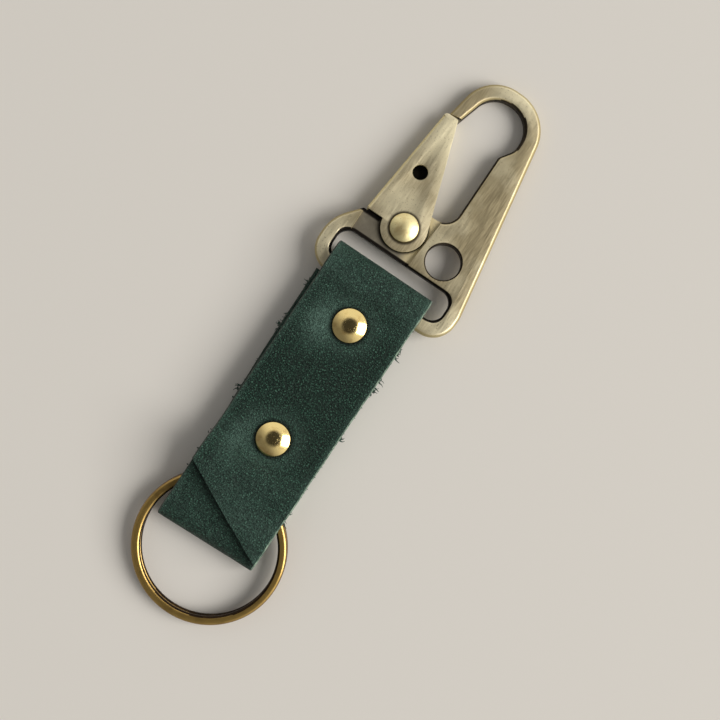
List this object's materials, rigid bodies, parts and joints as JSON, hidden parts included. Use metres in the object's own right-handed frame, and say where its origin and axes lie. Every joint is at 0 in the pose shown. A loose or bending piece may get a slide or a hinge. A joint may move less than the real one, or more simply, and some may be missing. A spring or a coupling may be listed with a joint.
{
  "type": "leather key fob",
  "caption": "Leather strap key fob: a folded, riveted leather strip holds a flat snap hook at one end and a split ring at the other.",
  "frame": {"origin": "on the strap's flat back face, on its centre line, midway between the two strap rivets", "axes": "+Y along the strap towards the snap hook, +Z out of the strap's front face, +X across it to the right as seen from the front"},
  "size_m": [0.0369, 0.1424, 0.0101],
  "materials": {
    "green_leather": "worn matt",
    "antique_brass_plate": "brushed, tarnished",
    "antique_brass_sheet": "brushed, tarnished",
    "polished_brass": "polished",
    "satin_brass": "satin",
    "dark_brass": "polished over a dark patina",
    "spring_steel": "drawn wire"
  },
  "bodies": {
    "strap": {"leather_strap": "green_leather", "upper_rivet_cap": "polished_brass", "upper_rivet_post": "polished_brass", "lower_rivet_cap": "polished_brass", "lower_rivet_post": "polished_brass"},
    "hook": {"hook_body": "antique_brass_plate", "gate_pivot_rivet": "satin_brass", "gate_spring": "spring_steel"},
    "gate": {"gate_lever": "antique_brass_sheet"},
    "ring": {"key_ring": "dark_brass"}
  },
  "joints": [
    {"name": "hook_swing", "type": "hinge", "parent": "strap", "child": "hook", "pos_m": [0.00115, 0.02445, 0.0027], "axis": [1, 0, 0], "range_deg": [-110, 115]},
    {"name": "gate_hinge", "type": "hinge", "parent": "hook", "child": "gate", "pos_m": [-0.00215, 0.04033, 0.00198], "axis": [0, -0.0454, -0.999], "range_deg": [0, 24], "stiffness_Nm_per_rad": 0.02, "springref_deg": -28.65, "deforming": ["gate_spring"]},
    {"name": "ring_turn", "type": "hinge", "parent": "strap", "child": "ring", "pos_m": [0.0016, -0.0439, 0.00149], "axis": [0, -0.0772, 0.997], "continuous": true}
  ]
}
